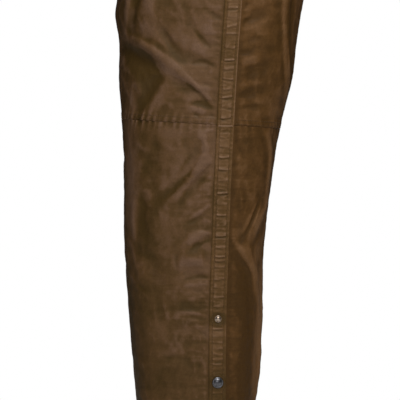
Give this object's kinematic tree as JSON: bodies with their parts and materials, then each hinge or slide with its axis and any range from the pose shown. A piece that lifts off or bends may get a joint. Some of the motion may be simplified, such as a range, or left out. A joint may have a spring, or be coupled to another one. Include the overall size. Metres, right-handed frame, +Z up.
{
  "type": "thornproof gaiter",
  "caption": "Thigh-length waxed cotton gaiter, open at top and hem, with a knee seam, a puckered side placket with a rivet and press studs, and a belt loop.",
  "frame": {"origin": "underside of the belt loop's top, in the middle of its width, where a belt carries the gaiter", "axes": "+Z up along the leg, -Y towards the leg's outer side with the placket, -X towards the shin and +X towards the calf"},
  "size_m": [0.2648, 0.2218, 0.8485],
  "materials": {
    "waxed_cloth": "waxed, soft sheen",
    "waxed_trim": "waxed, soft sheen",
    "rivet_metal": "worn satin",
    "stud_metal": "dark nickel, polished"
  },
  "bodies": {
    "root": {"front_upper": "waxed_cloth", "front_lower": "waxed_cloth", "back_upper": "waxed_cloth", "back_lower": "waxed_cloth", "underlap_upper": "waxed_cloth", "underlap_lower": "waxed_cloth", "placket_upper": "waxed_trim", "placket_lower": "waxed_trim", "belt_loop": "waxed_trim", "rivet_cap": "rivet_metal", "rivet_back": "rivet_metal", "stud_cap_1": "stud_metal", "stud_back_1": "stud_metal", "stud_cap_2": "stud_metal", "stud_back_2": "stud_metal"}
  },
  "joints": []
}
